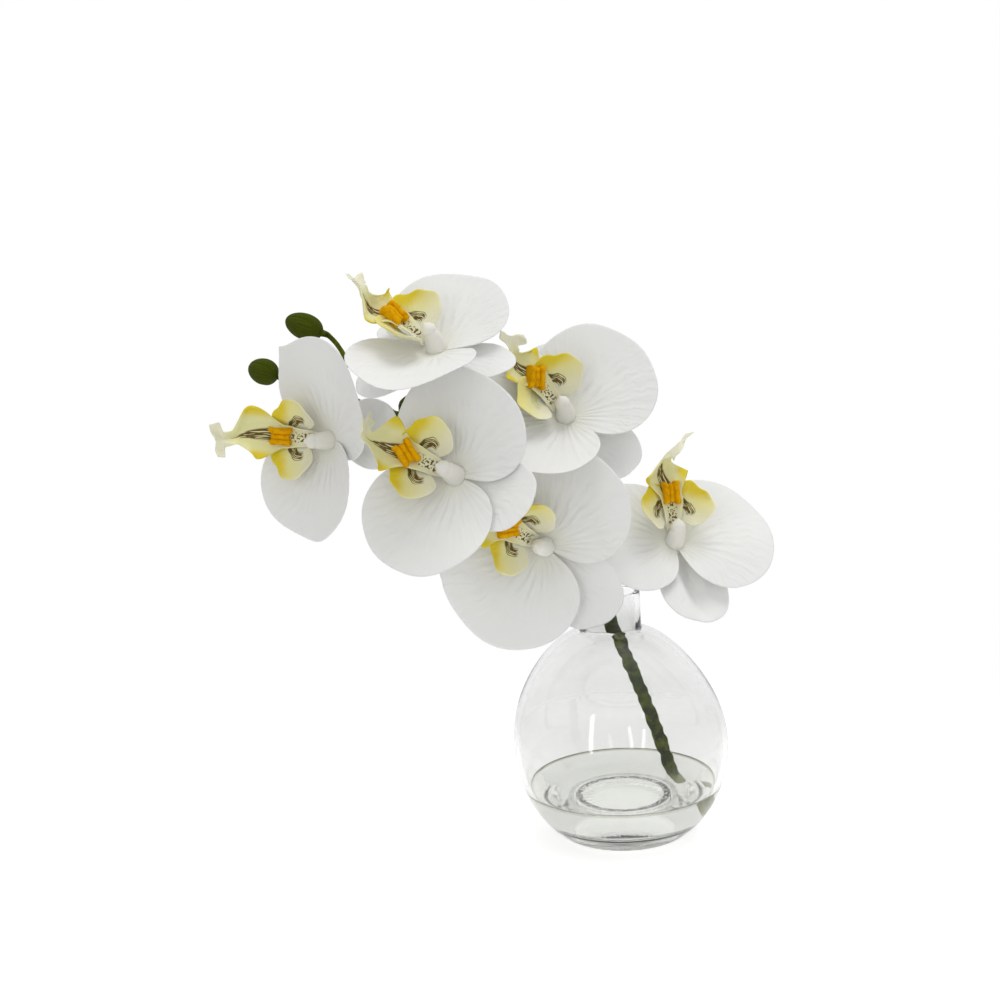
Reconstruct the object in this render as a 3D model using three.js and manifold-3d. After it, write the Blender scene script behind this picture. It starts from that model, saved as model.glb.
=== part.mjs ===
// Moth orchid spray with six blooms and two buds, standing in a clear ball vase with water.
// Millimetres, +Z up, +Y away from the viewer. The origin is the centre of the vase's flat foot.

import * as THREE from 'three';
import { mergeVertices } from 'three/addons/utils/BufferGeometryUtils.js';
import Module from 'manifold-3d';

const wasm = await Module();
wasm.setup();

// Clearance between pieces that touch
const GAP = 0.3;

// Vase
const BALL_RADIUS = 50.6;
const BALL_MID_Z = 43.8;
const BALL_DROP = 51.4; // semi-height of the ball's lower half, cut off by the foot
const BALL_RISE = 55.5; // semi-height of the ball's upper half, cut off by the neck
const NECK_RADIUS = 14.4;
const NECK_WALL = 2.6;
const NECK_SHIFT = 2; // the blown neck stands this far to the left of the ball's middle
const RIM_Z = 117;
const GLASS_WALL = 3;
const GLASS_FLOOR = 9;
const FOOT_RADIUS = 25;
const VASE_SIDES = 28;

// Water
const WATER_Z = 25;

// Stem
const STEM_SIDES = 8;
const STEM_POINTS = [
  [29, 7.5, 12], [18, 7, 48], [8, 3.5, 77], [-1, 0, 102], [-7, -1, 118], [-18, 2, 138],
  [-38, 6, 162], [-62, 9, 185], [-92, 17, 203], [-122, 33, 214], [-143, 46, 221],
];
const STEM_FOOT_RADIUS = 4;
const STEM_TIP_RADIUS = 1.5;
const NODE_SHARES = [0.1, 0.24, 0.37, 0.49, 0.67, 0.85]; // places of the node bumps along the stem
const NODE_LENGTH = 5;
const NODE_SWELL = 1.22; // a node bump's radius over the stem's
const STALK_RADIUS = 1.5;
const BUD_STALK_RADIUS = 1.2;

// Tepals, seen from the front of a bloom: x outward, y across, z toward the viewer
const PETAL = { spread: 96, round: 0.5, root: 3.2, ripple: 0.9, waves: 5 };
const SEPAL = { spread: 47, round: 0.5, root: 3.2, bow: -0.05, dish: 0.1, ripple: 0.5, waves: 3 };
const TEPAL_THICKNESS = 0.8;
const HUB_RADIUS = 5;

// Column, lip and callus, in a bloom's own frame: x across, y toward the dorsal sepal, z out of the bloom
const COLUMN_LINE = [[0, 0.1, 0], [0, -0.6, 6], [0, -1.9, 10.5], [0, -3.8, 14]];
const COLUMN_RADII = [5.3, 5.2, 4.7, 3.9, 2.4]; // at even steps from the column's root to its cap
const COLLAR_RADIUS = 2.2;
const COLLAR_END = -7; // where a bloom's collar meets its stalk, behind the root of the column
const LIP_THICKNESS = 1;
const SIDE_LOBE = {
  length: 19, spread: 78, round: 0.45, root: 0.8, lift: 0, bow: 0.12, dish: 0.3, ripple: 0.5, waves: 3,
};
const CALLUS_AT = [0, -17.5, 17.2];
const LIP_FOOT = [[0, -5.4, 3.7], [0, -10, 9], [0, -17, 14]];
// Half width of the lip at shares of its line: foot, callus, shoulders, neck and T-shaped tip
const LIP_WIDTHS = [[0, 2.6], [0.2, 3.6], [0.4, 5], [0.585, 12.8], [0.77, 3], [0.86, 3.4], [0.915, 8.2], [1, 7.6]];
const LIP_STEPS = [0, 0.12, 0.25, 0.4, 0.5, 0.585, 0.69, 0.77, 0.86, 0.915, 1];

// Blooms: place of the column's root, the way the bloom faces and the way its dorsal sepal points.
// The lip's line ends in the places of lip. In degrees, lipTurn rolls it about its line, rolls its tip further and
// swings its tip to one side, and callusTurn turns the callus. Each petal and sepal has the angle that it points.
const BLOOMS = [
  {
    at: [-73.8, -25, 232.5], out: [-0.06, -0.52, 0.85], dorsal: [0.91, -0.37, -0.17],
    lip: [[3, -27.5, 19], [2.5, -30, 28], [-1, -35.5, 33.5]], lipTurn: [0, 22, 8], callusTurn: 0,
    petals: [
      { angle: 0, length: 48, spread: 80, lift: 0.31, bow: -0.07, dish: 0.25 },
      { angle: 186, length: 43, lift: 0.34, bow: 0.05, dish: -0.25 },
    ],
    sepals: [
      { angle: 86, length: 37, spread: 43, lift: 0 }, { angle: -52, length: 38, lift: -0.18 },
      { angle: -135, length: 46, lift: -0.05 },
    ],
  },
  {
    at: [-18, -0.4, 199], out: [0.04, -0.82, 0.57], dorsal: [0.74, -0.36, -0.56],
    lip: [[1.5, -28.5, 18], [-1, -32.5, 23], [-5, -37, 29]], lipTurn: [14, -10, 35], callusTurn: 30,
    petals: [
      { angle: -11, length: 47, spread: 100, lift: 0.42, bow: 0.05, dish: 0.16 },
      { angle: 175, length: 46.5, spread: 93, lift: 0.43, bow: -0.13, dish: -0.08 },
    ],
    sepals: [
      { angle: 90, length: 40, spread: 50, lift: -0.06 }, { angle: -45, length: 42, lift: -0.28 },
      { angle: -135, length: 46, lift: -0.05 },
    ],
  },
  {
    at: [-127.3, 13.9, 194.9], out: [-0.69, -0.73, -0.02], dorsal: [0.71, -0.67, -0.2],
    lip: [[-0.4, -25.7, 28.7], [1, -27.5, 39], [1, -27.6, 48]], lipTurn: [30, -12, -5], callusTurn: 0,
    petals: [
      { angle: 0, length: 46.5, spread: 98, lift: 0.45, bow: -0.09, dish: 0.12 },
      { angle: 165, length: 49.5, lift: 0.39, bow: -0.08, dish: 0 },
    ],
    sepals: [
      { angle: 107, length: 43, lift: -0.05 }, { angle: -50, length: 46, lift: -0.05 },
      { angle: -130, length: 46, lift: -0.02 },
    ],
  },
  {
    at: [-67.8, -42, 178.8], out: [-0.35, -0.85, 0.39], dorsal: [0.82, -0.48, -0.3],
    lip: [[1, -27.4, 20], [0.6, -32.7, 28], [-7, -34, 32.5]], lipTurn: [20, 9, 20], callusTurn: 35,
    petals: [
      { angle: -3, length: 47.5, spread: 90, lift: 0.37, bow: -0.06, dish: -0.07 },
      { angle: 190, length: 43, round: 0.35, lift: 0.47, bow: -0.03, dish: -0.35 },
    ],
    sepals: [
      { angle: 86, length: 41.5, lift: 0.14, bow: 0.03 }, { angle: -45, length: 47, lift: -0.05 },
      { angle: -150, length: 46, lift: -0.1 },
    ],
  },
  {
    at: [-31, -10.2, 141.7], out: [-0.13, -0.99, 0.04], dorsal: [0.78, -0.13, -0.61],
    lip: [[0, -25.5, 18.7], [0, -32.6, 22.6], [0, -35.5, 27.5]], lipTurn: [0, 0, 0], callusTurn: -15,
    petals: [
      { angle: -13, length: 50, spread: 102, lift: 0.44, bow: -0.17, dish: -0.13 },
      { angle: 193, length: 49, lift: 0.39, bow: -0.22, dish: -0.03 },
    ],
    sepals: [
      { angle: 77, length: 45, lift: 0.11 }, { angle: -40, length: 52, lift: -0.08 },
      { angle: -135, length: 46, lift: -0.1 },
    ],
  },
  {
    at: [31.7, 14.2, 135.3], out: [0.18, -0.67, 0.72], dorsal: [0.19, -0.7, -0.69],
    lip: [[3.5, -27.5, 21], [1.5, -30.5, 29], [-6, -31, 38]], lipTurn: [20, 30, -30], callusTurn: 0,
    petals: [
      { angle: -15, length: 48, spread: 94, round: 0.43, lift: 0.24, bow: -0.16, dish: -0.06 },
      { angle: 188, length: 50, round: 0.46, lift: 0.35, bow: -0.28, dish: -0.08 },
    ],
    sepals: [
      { angle: 93, length: 44, lift: -0.02 }, { angle: -45, length: 46, lift: -0.05 },
      { angle: -135, length: 46, lift: -0.05 },
    ],
  },
];

// Where each flower stalk leaves the stem, as a share of the stem's length, from bloom 1 to bloom 6
const STALK_STARTS = [0.8, 0.62, 0.9, 0.72, 0.53, 0.42];

const BUDS = [
  {
    at: [-164, 50, 229], along: [-0.9, 0.3, 0.35], length: 16, radius: 6.6,
    start: 0.98, bend: [-149, 48, 223],
  },
  {
    at: [-142, 50, 250], along: [-0.9, 0.2, 0.4], length: 20, radius: 6.6,
    start: 0.93, bend: [-122, 43, 232],
  },
];

const COLOURS = {
  glass: 0xeef2f2,
  water: 0xe6ecec,
  stem: 0x3f4a1e,
  bloom: 0xf1f1ee,
  lip: 0xe8e3a8,
  callus: 0xf0a010,
  bud: 0x2f4a14,
};

const degrees = THREE.MathUtils.degToRad;
const point = (p) => new THREE.Vector3(...p);

// A closed geometry as a solid for joins and cuts
function toSolid(geometry) {
  const bare = geometry.index ? geometry.clone() : geometry;
  bare.deleteAttribute('normal');
  bare.deleteAttribute('uv');
  const merged = mergeVertices(bare, 1e-4);
  return new wasm.Manifold(new wasm.Mesh({
    numProp: 3,
    vertProperties: new Float32Array(merged.attributes.position.array),
    triVerts: new Uint32Array(merged.index.array),
  }));
}

function solidOf(corners, index) {
  const places = corners.flatMap((corner) => corner.toArray());
  const geometry = new THREE.BufferGeometry();
  geometry.setAttribute('position', new THREE.Float32BufferAttribute(places, 3));
  geometry.setIndex(index);
  return toSolid(geometry);
}

function toGeometry(solid) {
  const mesh = solid.getMesh();
  const geometry = new THREE.BufferGeometry();
  geometry.setAttribute('position', new THREE.BufferAttribute(new Float32Array(mesh.vertProperties), 3));
  geometry.setIndex(new THREE.BufferAttribute(new Uint32Array(mesh.triVerts), 1));
  geometry.computeVertexNormals();
  return geometry;
}

function joined(solids) {
  return solids.reduce((all, next) => all.add(next));
}

function evenSteps(count) {
  return Array.from({ length: count + 1 }, (_, i) => i / count);
}

// A thin blade over a grid of places: the grid's normal carries it half the thickness to either face
function blade(columnSteps, rowSteps, place, thickness) {
  const columns = columnSteps.length - 1;
  const rows = rowSteps.length - 1;
  const grid = columnSteps.flatMap((a) => rowSteps.map((b) => place(a, b)));
  const at = (i, j) => grid[i * (rows + 1) + j];
  const faces = [[], []];
  for (let i = 0; i <= columns; i += 1) {
    for (let j = 0; j <= rows; j += 1) {
      const along = at(Math.min(i + 1, columns), j).clone().sub(at(Math.max(i - 1, 0), j));
      const up = at(i, Math.min(j + 1, rows)).clone().sub(at(i, Math.max(j - 1, 0)));
      const normal = along.cross(up).normalize().multiplyScalar(thickness / 2);
      faces[0].push(at(i, j).clone().add(normal));
      faces[1].push(at(i, j).clone().sub(normal));
    }
  }
  const corners = [...faces[0], ...faces[1]];
  const back = grid.length;
  const index = [];
  for (let i = 0; i < columns; i += 1) {
    for (let j = 0; j < rows; j += 1) {
      const a = i * (rows + 1) + j;
      const b = a + rows + 1;
      index.push(a, b, b + 1, a, b + 1, a + 1);
      index.push(back + a, back + b + 1, back + b, back + a, back + a + 1, back + b + 1);
    }
  }
  const edge = [];
  for (let i = 0; i < columns; i += 1) edge.push(i * (rows + 1));
  for (let j = 0; j < rows; j += 1) edge.push(columns * (rows + 1) + j);
  for (let i = columns; i > 0; i -= 1) edge.push(i * (rows + 1) + rows);
  for (let j = rows; j > 0; j -= 1) edge.push(j);
  edge.forEach((a, n) => {
    const b = edge[(n + 1) % edge.length];
    index.push(a, back + a, b, b, back + a, back + b);
  });
  return solidOf(corners, index);
}

// A rounded fan about its root: the reach falls with the cosine of the angle, to the power round
function tepalPlace(form) {
  const half = degrees(form.spread);
  return (a, b) => {
    const u = 2 * a - 1;
    const angle = u * half;
    const reach = form.length * (0.09 + 0.91 * Math.abs(Math.cos((u * Math.PI) / 2)) ** form.round);
    const r = form.root + b * (reach - form.root);
    const share = r / form.length;
    const x = r * Math.cos(angle);
    const y = r * Math.sin(angle);
    const wave = form.ripple * Math.sin(form.waves * angle + form.waves) * share ** 3;
    const z = form.length * (form.lift * share + form.bow * share ** 2) + wave
      + (form.dish * y * y) / form.length;
    return new THREE.Vector3(x, y, z);
  };
}

// The grid's angle runs from one edge of a fan to the other, so b must grow outward for outward faces
function tepal(form, columns, rows, thickness) {
  const place = tepalPlace(form);
  return blade(evenSteps(rows), evenSteps(columns), (a, b) => place(b, a), thickness);
}

function moved(solid, matrix) {
  return solid.transform(matrix.elements);
}

// A frame with its x axis along one direction and its z axis as near as can be to another
function frameAlong(origin, xAxis, zHint) {
  const x = point(xAxis).normalize();
  const z = point(zHint).addScaledVector(x, -point(zHint).dot(x)).normalize();
  const y = z.clone().cross(x);
  return new THREE.Matrix4().makeBasis(x, y, z).setPosition(...origin);
}

// A frame that turns a fan about the bloom's own z axis
function fanFrame(angle) {
  return new THREE.Matrix4().makeRotationZ(degrees(angle));
}

function ball(radius, at, scale = [1, 1, 1], rings = 5, sides = 8) {
  const geometry = new THREE.SphereGeometry(radius, sides, rings);
  geometry.scale(...scale);
  geometry.translate(...at);
  return toSolid(geometry);
}

// A round bar of changing radius through a list of points
function taperedBar(points, radiusAt, steps, sides) {
  const curve = new THREE.CatmullRomCurve3(points, false, 'centripetal');
  const frames = curve.computeFrenetFrames(steps, false);
  const corners = [];
  for (let i = 0; i <= steps; i += 1) {
    const middle = curve.getPointAt(i / steps);
    const radius = radiusAt(i / steps);
    for (let j = 0; j < sides; j += 1) {
      const turn = (j / sides) * 2 * Math.PI;
      corners.push(middle.clone()
        .addScaledVector(frames.normals[i], radius * Math.cos(turn))
        .addScaledVector(frames.binormals[i], radius * Math.sin(turn)));
    }
  }
  const index = [];
  for (let i = 0; i < steps; i += 1) {
    for (let j = 0; j < sides; j += 1) {
      const a = i * sides + j;
      const b = i * sides + ((j + 1) % sides);
      index.push(a, b, b + sides, a, b + sides, a + sides);
    }
  }
  const foot = corners.length;
  corners.push(curve.getPointAt(0), curve.getPointAt(1));
  for (let j = 0; j < sides; j += 1) {
    const k = (j + 1) % sides;
    index.push(foot, k, j, foot + 1, steps * sides + j, steps * sides + k);
  }
  return solidOf(corners, index);
}

// Vase

// Radius of the ball's outside, or of its inside with the wall taken off, at a height
function ballRadiusAt(z, wall) {
  const rise = (z > BALL_MID_Z ? BALL_RISE : BALL_DROP) - wall;
  return (BALL_RADIUS - wall) * Math.sqrt(1 - ((z - BALL_MID_Z) / rise) ** 2);
}

// Height where the ball's upper half narrows to a radius
function heightAtRadius(radius, wall) {
  return BALL_MID_Z + (BALL_RISE - wall) * Math.sqrt(1 - (radius / (BALL_RADIUS - wall)) ** 2);
}

function ballArc(from, to, steps, wall) {
  const drop = BALL_DROP - wall;
  const rise = BALL_RISE - wall;
  const turnAt = (z) => Math.asin((z - BALL_MID_Z) / (z > BALL_MID_Z ? rise : drop));
  const arc = [];
  for (let i = 0; i <= steps; i += 1) {
    const turn = turnAt(from) + ((turnAt(to) - turnAt(from)) * i) / steps;
    const z = BALL_MID_Z + (turn > 0 ? rise : drop) * Math.sin(turn);
    arc.push(new THREE.Vector2((BALL_RADIUS - wall) * Math.cos(turn), z));
  }
  return arc;
}

function vaseSolid() {
  const inner = NECK_RADIUS - NECK_WALL;
  const profile = [
    new THREE.Vector2(0, 0),
    new THREE.Vector2(FOOT_RADIUS, 0),
    ...ballArc(1.5, heightAtRadius(NECK_RADIUS, 0), 9, 0),
    new THREE.Vector2(NECK_RADIUS, RIM_Z - 0.8),
    new THREE.Vector2(NECK_RADIUS - 0.8, RIM_Z),
    new THREE.Vector2(inner + 0.8, RIM_Z),
    new THREE.Vector2(inner, RIM_Z - 0.8),
    ...ballArc(heightAtRadius(inner, GLASS_WALL), WATER_Z, 6, GLASS_WALL),
    ...ballArc(WATER_Z, GLASS_FLOOR + 1, 3, GLASS_WALL).slice(1),
    new THREE.Vector2(ballRadiusAt(GLASS_FLOOR + 1, GLASS_WALL) - 3, GLASS_FLOOR),
    new THREE.Vector2(0, GLASS_FLOOR),
  ];
  const geometry = new THREE.LatheGeometry(profile, VASE_SIDES);
  geometry.rotateX(Math.PI / 2);
  const place = geometry.attributes.position;
  for (let i = 0; i < place.count; i += 1) {
    place.setX(i, place.getX(i) - NECK_SHIFT * THREE.MathUtils.smoothstep(place.getZ(i), 50, 105));
  }
  return toSolid(geometry);
}

// Stem, with its node bumps, flower stalks and bud stalks

const stemPoints = STEM_POINTS.map(point);
const stemCurve = new THREE.CatmullRomCurve3(stemPoints, false, 'centripetal');

function stemRadiusAt(share) {
  return STEM_FOOT_RADIUS + (STEM_TIP_RADIUS - STEM_FOOT_RADIUS) * THREE.MathUtils.smoothstep(share, 0.25, 1);
}

function bloomFrame(bloom) {
  const z = point(bloom.out).normalize();
  const y = point(bloom.dorsal).addScaledVector(z, -point(bloom.dorsal).dot(z)).normalize();
  const x = y.clone().cross(z);
  return new THREE.Matrix4().makeBasis(x, y, z).setPosition(...bloom.at);
}

function flowerStalk(bloom, start) {
  const frame = bloomFrame(bloom);
  const end = new THREE.Vector3(0, 0, COLLAR_END - GAP).applyMatrix4(frame);
  const before = new THREE.Vector3(0, 0, COLLAR_END - 7).applyMatrix4(frame);
  const root = stemCurve.getPointAt(start);
  const reach = root.distanceTo(before);
  const leave = root.clone().addScaledVector(stemCurve.getTangentAt(start), 0.12 * reach)
    .addScaledVector(before.clone().sub(root), 0.25);
  return taperedBar([root, leave, before, end], () => STALK_RADIUS, 6, 6);
}

function budStalk(bud) {
  const along = point(bud.along).normalize();
  const end = point(bud.at).addScaledVector(along, -bud.length / 2 - GAP);
  const before = end.clone().addScaledVector(along, -4);
  const root = stemCurve.getPointAt(bud.start);
  return taperedBar([root, point(bud.bend), before, end], () => BUD_STALK_RADIUS, 8, 6);
}

// A low ring round the stem where a bract grows
function nodeBump(share) {
  const radius = stemRadiusAt(share) * NODE_SWELL;
  const middle = stemCurve.getPointAt(share).toArray();
  const frame = frameAlong(middle, stemCurve.getTangentAt(share).toArray(), [0, 1, 0]);
  return moved(ball(1, [0, 0, 0], [NODE_LENGTH / 2, radius, radius], 4, 8), frame);
}

function stemSolid() {
  const pieces = [taperedBar(stemPoints, stemRadiusAt, 30, STEM_SIDES), ...NODE_SHARES.map(nodeBump)];
  BLOOMS.forEach((bloom, n) => pieces.push(flowerStalk(bloom, STALK_STARTS[n])));
  BUDS.forEach((bud) => pieces.push(budStalk(bud)));
  return joined(pieces);
}

// Water, with a plain hole round the stem

function waterSolid() {
  const wall = GLASS_WALL + GAP;
  const floor = GLASS_FLOOR + GAP;
  const profile = [
    new THREE.Vector2(0, floor),
    new THREE.Vector2(ballRadiusAt(floor + 1, wall) - 3, floor),
    ...ballArc(floor + 1, WATER_Z, 3, wall),
    new THREE.Vector2(0, WATER_Z),
  ];
  const geometry = new THREE.LatheGeometry(profile, VASE_SIDES);
  geometry.rotateX(Math.PI / 2);
  const foot = stemCurve.getPointAt(0);
  const away = stemCurve.getTangentAt(0);
  const hole = taperedBar(
    [foot.clone().addScaledVector(away, -2 * GAP), foot.clone().addScaledVector(away, 30)],
    () => STEM_FOOT_RADIUS + 2 * GAP, 1, 12,
  );
  return toSolid(geometry).subtract(hole);
}

// Bloom: three sepals behind, two petals before them and the column in the middle

// The column's trunk and cap, grown by an allowance
function columnBar(allowance) {
  const steps = COLUMN_RADII.length - 1;
  const radiusAt = (share) => COLUMN_RADII[Math.round(share * steps)] + allowance;
  return taperedBar(COLUMN_LINE.map(point), radiusAt, steps, 8);
}

function bloomSolid(bloom) {
  const placed = (form, columns, rows) => moved(tepal(form, columns, rows, TEPAL_THICKNESS), fanFrame(form.angle));
  const pieces = [
    ...bloom.petals.map((petal) => placed({ ...PETAL, ...petal }, 10, 4)),
    ...bloom.sepals.map((sepal) => placed({ ...SEPAL, ...sepal }, 6, 3)),
    ball(HUB_RADIUS, [0, 0, 0], [1, 1, 0.7]),
    columnBar(0),
    taperedBar([new THREE.Vector3(), new THREE.Vector3(0, 0, COLLAR_END)], () => COLLAR_RADIUS, 1, 8),
  ];
  return moved(joined(pieces), bloomFrame(bloom));
}

// Lip: a channel that runs out from the column's foot, two side lobes and a mid lobe with a T-shaped tip

function lipWidthAt(share) {
  const next = Math.max(1, LIP_WIDTHS.findIndex(([at]) => at >= share));
  const [from, low] = LIP_WIDTHS[next - 1];
  const [to, high] = LIP_WIDTHS[next];
  return low + (high - low) * THREE.MathUtils.smoothstep(share, from, to);
}

function midLobe(bloom, allowance) {
  const line = new THREE.CatmullRomCurve3([...LIP_FOOT, ...bloom.lip].map(point));
  const [roll, tipRoll, tipSwing] = bloom.lipTurn.map(THREE.MathUtils.degToRad);
  const place = (a, b) => {
    const along = line.getTangent(a).multiply(new THREE.Vector3(0.4, 1, 1)).normalize();
    const side = new THREE.Vector3(0, along.z, -along.y).cross(along).normalize();
    const up = along.clone().cross(side);
    const swing = -tipSwing * THREE.MathUtils.smoothstep(a, 0.68, 0.88);
    side.applyAxisAngle(up, swing);
    along.applyAxisAngle(up, swing);
    const tipTurn = tipRoll * THREE.MathUtils.smoothstep(a, 0.68, 0.92);
    const turn = roll * THREE.MathUtils.smoothstep(a, 0.4, 0.65) + tipTurn;
    side.applyAxisAngle(along, turn);
    up.applyAxisAngle(along, turn);
    const across = 2 * b - 1;
    const width = lipWidthAt(a) + allowance;
    return line.getPoint(a)
      .addScaledVector(side, across * width)
      .addScaledVector(up, 0.34 * width * across * across);
  };
  return blade(LIP_STEPS, evenSteps(4), place, LIP_THICKNESS + 2 * allowance);
}

// The lip's three lobes, grown by an allowance
function lipShape(bloom, allowance) {
  const grown = { ...SIDE_LOBE, length: SIDE_LOBE.length + allowance, spread: SIDE_LOBE.spread + 20 * allowance };
  const side = tepal(grown, 6, 3, LIP_THICKNESS + 2 * allowance);
  const right = moved(side, frameAlong([2.2, -11, 8], [0.82, -0.15, 0.55], [-0.5, 0.35, 0.72]));
  return joined([midLobe(bloom, allowance), right, right.mirror([1, 0, 0])]);
}

function lipSolid(bloom) {
  const clear = ball(HUB_RADIUS + 2 * GAP, [0, 0, 0], [1, 1, 0.75]).add(columnBar(2 * GAP));
  return moved(lipShape(bloom, 0).subtract(clear), bloomFrame(bloom));
}

// Callus: two ridges side by side, lying along the lip before the column
function callusSolid(bloom) {
  const ridge = (x) => ball(1, [0, 0, 0], [3.3, 5.4, 4], 5, 7)
    .translate([x, 0, 0]).rotate([0, 0, bloom.callusTurn]).rotate([-40, 0, 0]).translate(CALLUS_AT);
  const bodies = ridge(-2.2).add(ridge(2.2)).subtract(lipShape(bloom, 2 * GAP)).decompose();
  const [upper] = bodies.sort((a, b) => b.volume() - a.volume());
  return moved(upper, bloomFrame(bloom));
}

// Bud: an egg with a blunt tip
function budSolid(bud) {
  const egg = new THREE.SphereGeometry(1, 12, 8);
  egg.rotateZ(-Math.PI / 2);
  const place = egg.attributes.position;
  for (let i = 0; i < place.count; i += 1) {
    const x = place.getX(i);
    const radius = bud.radius * (1 - 0.1 * x);
    place.setXYZ(i, (x * bud.length) / 2, place.getY(i) * radius, place.getZ(i) * radius);
  }
  const frame = frameAlong(bud.at, bud.along, [0, 0, 1]);
  return moved(toSolid(egg), frame);
}

const group = new THREE.Group();

function addPiece(name, solid, colour, roughness, opacity = 1) {
  const material = new THREE.MeshStandardMaterial({
    color: colour, roughness, metalness: 0, opacity, transparent: opacity < 1,
  });
  const mesh = new THREE.Mesh(toGeometry(solid), material);
  mesh.name = name;
  group.add(mesh);
}

const bloomSolids = BLOOMS.map(bloomSolid);
addPiece('vase', vaseSolid(), COLOURS.glass, 0.05, 0.3);
addPiece('water', waterSolid(), COLOURS.water, 0.05, 0.5);
addPiece('stem', stemSolid(), COLOURS.stem, 0.6);
BLOOMS.forEach((bloom, n) => {
  addPiece(`bloom_${n + 1}`, bloomSolids[n], COLOURS.bloom, 0.7);
  addPiece(`lip_${n + 1}`, lipSolid(bloom), COLOURS.lip, 0.7);
  addPiece(`callus_${n + 1}`, callusSolid(bloom), COLOURS.callus, 0.5);
});
BUDS.forEach((bud, n) => addPiece(`bud_${n + 1}`, budSolid(bud), COLOURS.bud, 0.6));

export default group;
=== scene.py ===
"""A spray of moth orchids in a clear ball vase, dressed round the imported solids. Shapes are in mm."""
import math

import bpy
import numpy as np
from mathutils import Matrix


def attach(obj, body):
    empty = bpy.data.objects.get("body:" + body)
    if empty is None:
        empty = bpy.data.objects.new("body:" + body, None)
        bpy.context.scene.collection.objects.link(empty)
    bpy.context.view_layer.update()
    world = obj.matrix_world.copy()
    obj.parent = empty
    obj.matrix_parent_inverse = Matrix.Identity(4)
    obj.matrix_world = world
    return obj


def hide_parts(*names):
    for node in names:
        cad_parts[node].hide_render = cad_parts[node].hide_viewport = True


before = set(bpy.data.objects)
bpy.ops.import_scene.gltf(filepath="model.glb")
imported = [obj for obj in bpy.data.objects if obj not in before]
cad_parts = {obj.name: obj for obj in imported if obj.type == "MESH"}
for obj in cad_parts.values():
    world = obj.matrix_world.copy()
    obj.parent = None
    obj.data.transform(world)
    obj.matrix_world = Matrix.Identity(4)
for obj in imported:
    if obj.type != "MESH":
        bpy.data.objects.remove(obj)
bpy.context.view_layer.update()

MM = 0.001
SEED = 7

# Vase and water. The ball is egg-shaped: it reaches further above its middle than below
BALL_RADIUS = 50.6
BALL_MID_Z = 43.8
BALL_DROP = 51.4
BALL_RISE = 55.5
NECK_RADIUS = 14.4
NECK_WALL = 2.6
RIM_Z = 117
GLASS_WALL = 3
GLASS_FLOOR = 9
FOOT_RADIUS = 25
WATER_Z = 25
BASE_RING = 21
# The neck stands off the ball's middle, and the ball rises toward it
NECK_SHIFT = 2
NECK_RISE = 3

# Stem, from its foot in the water to its tip
STEM_POINTS = [
    (29, 7.5, 12), (18, 7, 48), (8, 3.5, 77), (-1, 0, 102), (-7, -1, 118), (-18, 2, 138),
    (-38, 6, 162), (-62, 9, 185), (-92, 17, 203), (-122, 33, 214), (-143, 46, 221),
]
STEM_FOOT_RADIUS = 4
STEM_TIP_RADIUS = 1.5
# Share of those radii that the drawn stem keeps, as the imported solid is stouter
STEM_SLIM = 0.73
STALK_RADIUS = 1.5
BUD_STALK_RADIUS = 1.2
# Swellings at the nodes, by shares of the stem's length and radius
NODE_SPAN = 0.00647
NODE_SWELL = 0.2
NODE_SHARES = (0.1, 0.24, 0.37, 0.49, 0.67, 0.85)
STALK_STARTS = (0.8, 0.62, 0.9, 0.72, 0.53, 0.42)

# Petals, sepals and lobes as fans: x outward, y across, z to the front
PETAL = dict(spread=96, round=0.5, root=3.2, ripple=0.9, waves=5, corner=0.012, pleat=0.15, swell=1.1,
             columns=200, rows=34)
SEPAL = dict(length=46, spread=47, round=0.5, root=3.2, lift=-0.05, bow=-0.05, dish=0.1, ripple=0.5, waves=3,
             corner=0.012, pleat=0.09, swell=0.9, columns=84, rows=26)
SIDE_LOBE = dict(length=19, spread=78, round=0.45, root=0.8, lift=0, bow=0.12, dish=0.3, ripple=0.5, waves=3,
                 corner=0.07, pleat=0.05, swell=1.3, columns=60, rows=24)
SIDE_LOBE_AT = (2.6, -11, 8)
SIDE_LOBE_OUT = (0.82, -0.15, 0.55)
SIDE_LOBE_FACE = (-0.5, 0.35, 0.72)
# Half the thickness of petals and sepals, and of lips
TEPAL_HALF = 0.28
LIP_HALF = 0.3

# The column from its foot to its cap, and the collar behind it that takes the stalk
COLUMN_POINTS = [(0, 0.3, -1.5), (0, 0.1, 3), (0, -0.6, 7), (0, -2, 10.6), (0, -4, 14)]
COLUMN_RADIUS = 4.7
COLUMN_TAPER = 1.3
COLLAR_END = -7
COLLAR_HEIGHTS = (1, -2, -4, COLLAR_END)
COLLAR_RADII = (4.6, 3.4, 2.5, 2.2)

# The lip's line runs through these points to the bloom's own. Half widths stand at their shares of it
LIP_ROOT_POINTS = [(0, -5.4, 3.7), (0, -10, 9), (0, -17, 14)]
LIP_WIDTHS = [
    (0, 3.2), (0.2, 4.4), (0.4, 5.6), (0.585, 12.8), (0.77, 3.4), (0.86, 3.6), (0.915, 8.2), (1, 7.6),
]
# The width that the lip's map spans
LIP_MAP = 40

# The callus's ridges: place across, half width, half length and half height. The last is the pad under them
CALLUS_RIDGES = [(-2.5, 1.4, 5.6, 3.1), (2.5, 1.4, 5.2, 2.9), (0, 1.4, 4.4, 2.4), (0, 3, 4.4, 1.7)]
CALLUS_AT = (0, -17.8, 16.8)
CALLUS_TILT = -40

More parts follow.
